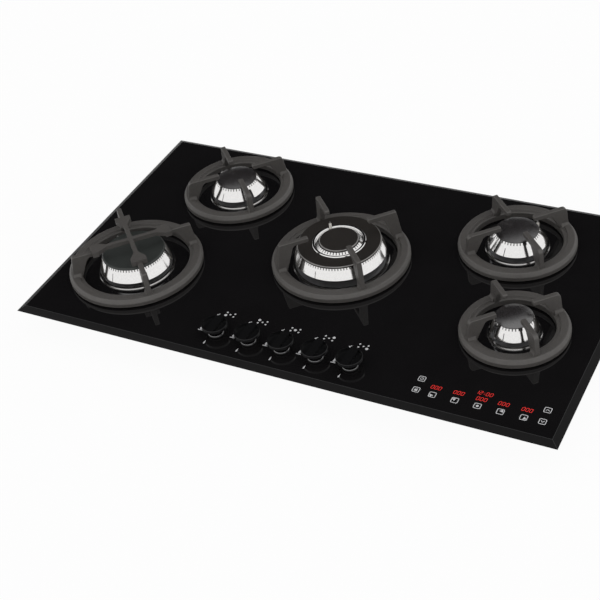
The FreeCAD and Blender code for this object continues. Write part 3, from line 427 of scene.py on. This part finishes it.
# Crease faces along the front and right edges get the painted highlight material; the crease
# elsewhere and the bevel get the ground bevel.
for face in plate.data.polygons:
    on_lit_side = (face.center.y < plate_low.y + painted_highlight_reach
            or face.center.x > plate_high.x - painted_highlight_reach)
    if crease_lowest < face.normal.z < crease_highest and on_lit_side:
        face.material_index = 2
    elif bevel_lowest < face.normal.z < crease_highest:
        face.material_index = 1
only(plate)
bpy.ops.object.shade_smooth_by_angle(angle=smooth_angle)
black_glass = grained("black_glass", (0.0050, 0.0046, 0.0049), (0.0080, 0.0074, 0.0078),
                      0.010, 0.022, 14, 0.0)
adjust(black_glass, "IOR", glass_ior)
adjust(black_glass, "Specular IOR Level", glass_mirror)
ground_bevel = grained("ground_bevel", (0.0050, 0.0048, 0.0050), (0.0085, 0.0080, 0.0084),
                       0.30, 0.42, 60, 0.00002)
adjust(ground_bevel, "Specular IOR Level", bevel_mirror)
# Painted highlight: dark grey instead of black, laid on the crease along the front and the
# right.
crease_painted_highlight = grained("crease_painted_highlight", (0.030, 0.030, 0.031), (0.055, 0.055, 0.056), 0.25, 0.40,
                       60, 0.00002)
adjust(crease_painted_highlight, "Specular IOR Level", crease_mirror)
for surface in (black_glass, ground_bevel, crease_painted_highlight):
    plate.data.materials.append(surface)
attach(plate, "root")
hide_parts("glass_top")

# ---------------------------------------------------------------- trim rings on the glass
# Thin polished steel rings between the glass and each crown. They are spun, so the finest
# marks run round them.
polished_ring = grained("polished_ring", (0.40, 0.39, 0.38), (0.56, 0.55, 0.54), 0.10, 0.22,
                        600, 0.00003, 1.0)
dress(polished_ring, "burner_trim_rings")

# ---------------------------------------------------------------- flame crowns
# Bright polished skirts, sloping in to the flame ports. Polishing leaves faint upright facets,
# so a reflection breaks into narrow upright bands.
facet_count = 3.2
facet_depth = 0.00009
skirt_crowning = {"left": 0.22, "wok": 0.32}
turned_facets = shader_group("turned_facets", (("Place", "Vector"), ("Count", "Float")),
                             (("Height", "Float"),))
facet_in = turned_facets.nodes.new("NodeGroupInput")
facet_out = turned_facets.nodes.new("NodeGroupOutput")
facet_split = turned_facets.nodes.new("ShaderNodeSeparateXYZ")
facet_angle = turned_facets.nodes.new("ShaderNodeMath")
facet_angle.operation = "ARCTAN2"
facet_times = turned_facets.nodes.new("ShaderNodeMath")
facet_times.operation = "MULTIPLY"
facet_noise = turned_facets.nodes.new("ShaderNodeTexNoise")
facet_noise.noise_dimensions = "1D"
facet_noise.inputs["Scale"].default_value = 1.0
facet_noise.inputs["Detail"].default_value = 3.0
facet_link = turned_facets.links.new
facet_link(facet_in.outputs["Place"], facet_split.inputs[0])
facet_link(facet_split.outputs["Y"], facet_angle.inputs[0])
facet_link(facet_split.outputs["X"], facet_angle.inputs[1])
facet_link(facet_angle.outputs[0], facet_times.inputs[0])
facet_link(facet_in.outputs["Count"], facet_times.inputs[1])
facet_link(facet_times.outputs[0], facet_noise.inputs["W"])
facet_link(facet_noise.outputs["Fac"], facet_out.inputs["Height"])


def crown_finish(name, centre, count, depth, crowning):
    """Polished metal with upright facets about one burner's axis, buffed slightly convex."""
    material = grained(name, (0.76, 0.75, 0.74), (0.92, 0.91, 0.90), 0.05, 0.12, 420, 0.00002,
                       1.0)
    nodes, link = material.node_tree.nodes, material.node_tree.links.new
    surface = nodes.new("ShaderNodeNewGeometry")
    lean = nodes.new("ShaderNodeVectorMath")
    lean.operation = "ADD"
    lean.inputs[1].default_value = (0, 0, crowning)
    leaned = nodes.new("ShaderNodeVectorMath")
    leaned.operation = "NORMALIZE"
    place = nodes.new("ShaderNodeTexCoord")
    centred = nodes.new("ShaderNodeMapping")
    centred.inputs["Location"].default_value = (-centre.x, -centre.y, 0)
    facets = nodes.new("ShaderNodeGroup")
    facets.node_tree = turned_facets
    facets.inputs["Count"].default_value = count
    waves = nodes.new("ShaderNodeBump")
    waves.inputs["Distance"].default_value = depth
    link(place.outputs["Object"], centred.inputs["Vector"])
    link(centred.outputs["Vector"], facets.inputs["Place"])
    link(facets.outputs["Height"], waves.inputs["Height"])
    link(surface.outputs["Normal"], lean.inputs[0])
    link(lean.outputs[0], leaned.inputs[0])
    link(leaned.outputs[0], waves.inputs["Normal"])
    link(waves.outputs["Normal"], nodes["relief"].inputs["Normal"])
    return material


for name in burner_names:
    polish = crown_finish(name + "_crown_polish", burner_at[name], facet_count, facet_depth,
                          skirt_crowning.get(name, 0.0))
    dress(polish, name + "_burner_crown")
    if name == "wok":
        dress(polish, "wok_inner_crown")

# ---------------------------------------------------------------- burner caps
# Enamelled steel lids. The two larger burners have flat matt ones with a fine sandy surface,
# the three smaller ones are domed and glossy.
flat_cap_mirror = {"wok": 0.3, "left": 0.4}
domed_cap_ior = 2.3
# Painted highlight: faces whose normal's height lies between two limits, such as chamfers and
# rounded edges, get a lighter colour, made uneven by a noise, for the light those edges catch.
painted_edge_highlight = shader_group(
    "painted_edge_highlight",
    (("Colour", "Color"), ("Highlight", "Color"), ("Low", "Float"), ("High", "Float"),
     ("Amount", "Float")),
    (("Colour", "Color"),))
highlight_in = painted_edge_highlight.nodes.new("NodeGroupInput")
highlight_out = painted_edge_highlight.nodes.new("NodeGroupOutput")
highlight_surface = painted_edge_highlight.nodes.new("ShaderNodeNewGeometry")
highlight_split = painted_edge_highlight.nodes.new("ShaderNodeSeparateXYZ")
highlight_above = painted_edge_highlight.nodes.new("ShaderNodeMath")
highlight_above.operation = "GREATER_THAN"
highlight_below = painted_edge_highlight.nodes.new("ShaderNodeMath")
highlight_below.operation = "LESS_THAN"
highlight_between = painted_edge_highlight.nodes.new("ShaderNodeMath")
highlight_between.operation = "MULTIPLY"
highlight_place = painted_edge_highlight.nodes.new("ShaderNodeTexCoord")
highlight_noise = painted_edge_highlight.nodes.new("ShaderNodeTexNoise")
highlight_noise.inputs["Scale"].default_value = 90.0
highlight_noise_range = painted_edge_highlight.nodes.new("ShaderNodeMapRange")
highlight_noise_range.inputs["From Min"].default_value = 0.3
highlight_noise_range.inputs["From Max"].default_value = 0.6
highlight_noise_range.inputs["To Min"].default_value = 0.6
highlight_uneven = painted_edge_highlight.nodes.new("ShaderNodeMath")
highlight_uneven.operation = "MULTIPLY"
highlight_share = painted_edge_highlight.nodes.new("ShaderNodeMath")
highlight_share.operation = "MULTIPLY"
highlight_mix = painted_edge_highlight.nodes.new("ShaderNodeMix")
highlight_mix.data_type = "RGBA"
highlight_link = painted_edge_highlight.links.new
highlight_link(highlight_surface.outputs["True Normal"], highlight_split.inputs[0])
highlight_link(highlight_split.outputs["Z"], highlight_above.inputs[0])
highlight_link(highlight_in.outputs["Low"], highlight_above.inputs[1])
highlight_link(highlight_split.outputs["Z"], highlight_below.inputs[0])
highlight_link(highlight_in.outputs["High"], highlight_below.inputs[1])
highlight_link(highlight_above.outputs[0], highlight_between.inputs[0])
highlight_link(highlight_below.outputs[0], highlight_between.inputs[1])
highlight_link(highlight_place.outputs["Object"], highlight_noise.inputs["Vector"])
highlight_link(highlight_noise.outputs["Fac"], highlight_noise_range.inputs["Value"])
highlight_link(highlight_between.outputs[0], highlight_uneven.inputs[0])
highlight_link(highlight_noise_range.outputs["Result"], highlight_uneven.inputs[1])
highlight_link(highlight_uneven.outputs[0], highlight_share.inputs[0])
highlight_link(highlight_in.outputs["Amount"], highlight_share.inputs[1])
highlight_link(highlight_share.outputs[0], highlight_mix.inputs["Factor"])
highlight_link(highlight_in.outputs["Colour"], highlight_mix.inputs["A"])
highlight_link(highlight_in.outputs["Highlight"], highlight_mix.inputs["B"])
highlight_link(highlight_mix.outputs["Result"], highlight_out.inputs["Colour"])


def paint_edge_highlights(material, highlight_colour, low, high, amount):
    """Paint a highlight on the slopes whose normal's height lies between low and high."""
    nodes, link = material.node_tree.nodes, material.node_tree.links.new
    highlight = nodes.new("ShaderNodeGroup")
    highlight.node_tree = painted_edge_highlight
    highlight.inputs["Highlight"].default_value = (*highlight_colour, 1.0)
    highlight.inputs["Low"].default_value = low
    highlight.inputs["High"].default_value = high
    highlight.inputs["Amount"].default_value = amount
    link(nodes["grain"].outputs["Colour"], highlight.inputs["Colour"])
    link(highlight.outputs["Colour"], nodes["Principled BSDF"].inputs["Base Color"])


wok_enamel = grained("wok_cap_enamel", (0.0085, 0.0062, 0.0048), (0.0175, 0.0138, 0.0115), 0.50,
                     0.68, 1100, 0.0004)
adjust(wok_enamel, "Specular IOR Level", flat_cap_mirror["wok"])
# Painted highlight: the lid's 45-degree chamfer is coloured pale grey for the light it catches.
paint_edge_highlights(wok_enamel, (0.34, 0.33, 0.32), 0.6, 0.8, 0.9)
dress(wok_enamel, "wok_burner_cap", "wok_inner_cap")
left_enamel = grained("left_cap_enamel", (0.0175, 0.0210, 0.0190), (0.029, 0.0335, 0.031), 0.44,
                      0.62, 1100, 0.0004)
adjust(left_enamel, "Specular IOR Level", flat_cap_mirror["left"])
# Painted highlight, fainter: the left lid's chamfer is coloured a little lighter for the light
# it catches.
paint_edge_highlights(left_enamel, (0.10, 0.105, 0.10), 0.6, 0.8, 0.4)
dress(left_enamel, "left_burner_cap")
gloss_enamel = grained("gloss_enamel", (0.016, 0.014, 0.014), (0.026, 0.023, 0.024), 0.20, 0.30,
                       500, 0.0001)
adjust(gloss_enamel, "IOR", domed_cap_ior)
dress(gloss_enamel, "back_left_burner_cap", "back_right_burner_cap", "front_right_burner_cap")

# ---------------------------------------------------------------- spark electrodes
# Glazed white ceramic sleeves in notches of the crowns, each with a bare steel pin.
# Heat leaves them slightly cream and unevenly stained.
glaze_coat = 0.4
glazed = grained("glazed_ceramic", (0.62, 0.58, 0.52), (0.86, 0.84, 0.80), 0.12, 0.26, 260,
                 0.00005)
adjust(glazed, "Coat Weight", glaze_coat)
dress(glazed, "spark_electrode_ceramics")

# ---------------------------------------------------------------- pan supports
# Cast iron rings with four fingers, under a matt dark grey enamel. The enamel is sandy and keeps
# a faint sheen; its sloping edges and rounds are painted lighter, a painted highlight for the
# light they catch.
cast_mirror = 0.6
cast_enamel = grained("cast_iron_enamel", (0.046, 0.042, 0.039), (0.080, 0.074, 0.069),
                      0.42, 0.60, 260, 0.0005)
adjust(cast_enamel, "Specular IOR Level", cast_mirror)
# Painted highlight: steep edges, rounds and the ring step of the supports are coloured lighter
# for the light they catch.
paint_edge_highlights(cast_enamel, (0.15, 0.142, 0.134), 0.25, 0.80, 0.3)
dress(cast_enamel, "small_pan_adaptor", *[n + "_pan_support" for n in burner_names])
soft_pad = grained("support_pad_silicone", (0.012, 0.012, 0.012), (0.025, 0.025, 0.025),
                   0.6, 0.8, 500, 0.0001)
dress(soft_pad, "support_pads")

# ---------------------------------------------------------------- knob return springs
# Coil springs of steel wire, one round each spindle. In the hob the lower end stays on the valve
# and the coils close up as the knob is pushed in; here each spring is a fixed mesh riding on the
# root.
# Each is cut from a copy of the mesh of all five, keeping the coils round its own spindle.
spring_reach = 0.012
merge_distance = 0.000001
for number, axis in enumerate(knob_axes, 1):
    spring = bpy.data.objects.new("return_spring_%d" % number,
                                  frame["nodes"]["knob_return_springs"].data.copy())
    bpy.context.collection.objects.link(spring)
    only(spring)
    bpy.ops.object.mode_set(mode="EDIT")
    bpy.ops.mesh.select_all(action="SELECT")
    bpy.ops.mesh.remove_doubles(threshold=merge_distance)
    bpy.ops.mesh.select_all(action="DESELECT")
    bpy.ops.object.mode_set(mode="OBJECT")
    for corner in spring.data.vertices:
        corner.select = abs(corner.co.x - axis.x) > spring_reach
    bpy.ops.object.mode_set(mode="EDIT")
    bpy.ops.mesh.delete(type="VERT")
    bpy.ops.object.mode_set(mode="OBJECT")
    spring.data.materials.clear()
    spring.data.materials.append(bright_steel)
    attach(spring, "root")
    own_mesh(spring)
    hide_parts("knob_return_springs")

# ---------------------------------------------------------------- knobs
# Black moulded knobs, glossy with a trace of moulding grain, each on a dark plated ring that
# lies on the glass.
knob_mirror = 0.35
knob_black = grained("knob_black", (0.0045, 0.0045, 0.0048), (0.0085, 0.0085, 0.009), 0.10, 0.20,
                     700, 0.00004)
adjust(knob_black, "Specular IOR Level", knob_mirror)
dress(knob_black, *["knob_%d" % i for i in range(1, 6)])
plated_ring = grained("plated_ring", (0.17, 0.17, 0.17), (0.27, 0.27, 0.27), 0.14, 0.26, 500,
                      0.00002, 1.0)
dress(plated_ring, "knob_bezels")

# ---------------------------------------------------------------- printed marks at the knobs
# White enamel print fired on the glass: an off mark, a large and a small flame and a map of
# the five burners, on which the knob's own burner has the larger dot.
print_thickness = 0.00004
dot_r = 0.0015
own_dot_r = 0.0024
map_step_x = 0.0068
map_step_y = 0.0034
map_at = Vector((0.0011, 0.0440))
off_at = Vector((-0.0179, 0.0370))
off_bar_right = 0.0014
off_bar_up = 0.0020
off_bar = (0.0034, 0.0012, radians(58))
big_flame_at = Vector((-0.0269, 0.0010))
big_flame_lift = 0.0006
big_flame = (0.0080, 0.7)
base_bar_drop = 0.0036
base_bar = (0.0078, 0.0016)
small_flame_at = Vector((-0.0059, -0.0270))
small_flame = (0.0066, 0.5)
flame_corners = 16
flame_disc = 0.36
flame_shoulder = 0.1
flame_pinch = 0.4
flame_rise = 0.5


def bar(x, y, length, width, turn=0.0):
    """Thin printed line, centred at x, y."""
    bpy.ops.mesh.primitive_plane_add(size=1, location=(x, y, plate_high.z),
                                     rotation=(0, 0, turn))
    line = bpy.context.object
    line.scale = (length, width, 1)
    return line


def spot(x, y, radius, corners=20, turn=0.0):
    """Printed dot, or a small polygon where corners is low."""
    bpy.ops.mesh.primitive_circle_add(vertices=corners, radius=radius, fill_type="NGON",
                                      location=(x, y, plate_high.z), rotation=(0, 0, turn))
    return bpy.context.object


def flame(x, y, size, slimness):
    """Drop-shaped flame: a disc made slim, its topmost corners drawn up to a point."""
    shape = spot(x, y, size * flame_disc, flame_corners)
    for corner in shape.data.vertices:
        corner.co.x *= slimness
        if corner.co.y > size * flame_shoulder:
            corner.co.x *= flame_pinch
            corner.co.y += size * flame_rise
    return shape


def printed(name, pieces, ink):
    """Join flat pieces, give them the ink's thickness and make them ride on the glass."""
    sheet = joined(name, pieces)
    only(sheet)
    film = sheet.modifiers.new("film", "SOLIDIFY")
    film.thickness = print_thickness
    film.offset = 1.0
    bpy.ops.object.modifier_apply(modifier="film")
    sheet.data.materials.clear()
    sheet.data.materials.append(ink)
    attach(sheet, "root")
    return sheet


white_ink = grained("white_print", (0.50, 0.50, 0.51), (0.74, 0.74, 0.75), 0.3, 0.45, 900,
                    0.00002)
own_dots = ((-1, -1), (-1, 1), (0, 0), (1, 1), (1, -1))
for number, axis in enumerate(knob_axes, 1):
    x, y = axis.x, axis.y
    marks = [spot(x + off_at.x, y + off_at.y, dot_r),
             bar(x + off_at.x + off_bar_right, y + off_at.y + off_bar_up, *off_bar),
             flame(x + big_flame_at.x, y + big_flame_at.y + big_flame_lift, *big_flame),
             bar(x + big_flame_at.x, y + big_flame_at.y - base_bar_drop, *base_bar),
             flame(x + small_flame_at.x, y + small_flame_at.y, *small_flame)]
    for column, row in own_dots:
        own = own_dots[number - 1] == (column, row)
        marks.append(spot(x + map_at.x + column * map_step_x, y + map_at.y + row * map_step_y,
                          own_dot_r if own else dot_r))
    printed("knob_%d_marks" % number, marks, white_ink)

# ---------------------------------------------------------------- touch keys
# Printed outlines of the touch keys: power, lock, one key for each burner, up and down. They
# are square outlines with rounded corners, each with its sign inside.
key_size = 0.0108
key_line = 0.0011
key_corner_r = 0.0022
key_corner_steps = 4
zone_first = Vector((0.2560, -0.2230))
zone_pitch = 0.0335
middle_dot_r = 0.0021
corner_mark_r = 0.0034
corner_mark_sides = 3
corner_mark_share = 0.45
corner_mark_margin = 1.6
corner_mark_room = key_size / 2 - key_line * corner_mark_margin
power_at = Vector((0.2297, -0.1977))
power_ring_r = 0.0026
power_ring_sides = 24
power_line = 0.0008
power_bar_length = 0.0026
power_bar_up = 0.0022
lock_at = Vector((0.2303, -0.2209))
lock_body = (0.0046, 0.0034)
lock_body_drop = 0.0010
shackle_line = 0.0007
shackle_half = 0.0014
shackle_leg = 0.0024
shackle_leg_up = 0.0016
shackle_top = 0.0035
shackle_top_up = 0.0028
up_at = Vector((0.4160, -0.1987))
down_at = Vector((0.4163, -0.2219))
arrow_half = 0.0012
arrow_bar = (0.0040, 0.0011)
arrow_slope = radians(48)


def hollow(shape, line, corner_r=0.0):
    """Cut a flat shape down to its outline, its corners rounded first where corner_r is set."""
    bpy.ops.object.mode_set(mode="EDIT")
    bpy.ops.mesh.select_all(action="SELECT")
    if corner_r:
        bpy.ops.mesh.bevel(offset=corner_r, segments=key_corner_steps, affect="VERTICES")
        bpy.ops.mesh.select_all(action="SELECT")
    bpy.ops.mesh.inset(thickness=line)
    bpy.ops.mesh.delete(type="FACE")
    bpy.ops.object.mode_set(mode="OBJECT")
    return shape


def key_outline(x, y):
    """Square outline with rounded corners."""
    bpy.ops.mesh.primitive_plane_add(size=key_size, location=(x, y, plate_high.z))
    return hollow(bpy.context.object, key_line, key_corner_r)


keys = []
for step, (column, row) in enumerate(own_dots):
    x = zone_first.x + step * zone_pitch
    y = zone_first.y
    keys.append(key_outline(x, y))
    if (column, row) == (0, 0):
        keys.append(spot(x, y, middle_dot_r))
    else:
        out = corner_mark_room * corner_mark_share
        keys.append(spot(x + column * out, y + row * out, corner_mark_r, corner_mark_sides,
                         atan2(row, column) + pi))
keys += [key_outline(power_at.x, power_at.y),
         hollow(spot(power_at.x, power_at.y, power_ring_r, power_ring_sides), power_line),
         bar(power_at.x, power_at.y + power_bar_up, power_line, power_bar_length)]
keys += [key_outline(lock_at.x, lock_at.y),
         bar(lock_at.x, lock_at.y - lock_body_drop, *lock_body),
         bar(lock_at.x - shackle_half, lock_at.y + shackle_leg_up, shackle_line, shackle_leg),
         bar(lock_at.x + shackle_half, lock_at.y + shackle_leg_up, shackle_line, shackle_leg),
         bar(lock_at.x, lock_at.y + shackle_top_up, shackle_top, shackle_line)]
for at, way in ((up_at, 1), (down_at, -1)):
    keys += [key_outline(at.x, at.y),
             bar(at.x - arrow_half, at.y, *arrow_bar, way * arrow_slope),
             bar(at.x + arrow_half, at.y, *arrow_bar, -way * arrow_slope)]
printed("touch_key_marks", keys, white_ink)

# ---------------------------------------------------------------- red figures of the display
# Seven-segment figures that glow dull red through the glass: three for each burner's timer,
# and a clock of two lines in the middle.
segment_length = 0.0029
segment_width = 0.00065
figure_step = 0.0056
slant = 0.14
timer_places = (Vector((0.2560, -0.2080)), Vector((0.2898, -0.2075)), Vector((0.3560, -0.2075)),
                Vector((0.3898, -0.2075)), Vector((0.3240, -0.2086)))
clock_at = Vector((0.3237, -0.1968))
clock_steps = (-1.85, -0.85, 0.85, 1.85)
clock_digits = "1200"
colon_r = 0.0005
colon_sides = 10
colon_up = 0.0012
colon_down = 0.0014
segment_gap_x = 0.0003
segment_gap_y = 0.0002
glow_colour = (0.85, 0.035, 0.03, 1.0)
glow_strength = 0.75
lit = {"0": "abcdef", "1": "bc", "2": "abged"}
segment_places = {"a": (0, 2, 0), "b": (1, 1, 1), "c": (1, -1, 1), "d": (0, -2, 0),
                  "e": (-1, -1, 1), "f": (-1, 1, 1), "g": (0, 0, 0)}


def figure(x, y, digit):
    """One seven-segment figure, its upright bars leaning to the right."""
    bars = []
    for name in lit[digit]:
        column, row, upright = segment_places[name]
        half = segment_length / 2
        dx, dy = column * (half + segment_gap_x), row * (half + segment_gap_y)
        turn = pi / 2 - atan2(slant, 1) if upright else 0.0
        bars.append(bar(x + dx + slant * dy, y + dy, segment_length, segment_width, turn))
    return bars


figures = []
for at in timer_places:
    for i in (-1, 0, 1):
        figures += figure(at.x + i * figure_step, at.y, "0")
for i, digit in zip(clock_steps, clock_digits):
    figures += figure(clock_at.x + i * figure_step, clock_at.y, digit)
figures += [spot(clock_at.x, clock_at.y + colon_up, colon_r, colon_sides),
            spot(clock_at.x, clock_at.y - colon_down, colon_r, colon_sides)]
red_glow = grained("red_glow", (0.30, 0.010, 0.008), (0.42, 0.02, 0.016), 0.4, 0.5, 900, 0.0)
adjust(red_glow, "Emission Color", glow_colour)
adjust(red_glow, "Emission Strength", glow_strength)
printed("display_figures", figures, red_glow)
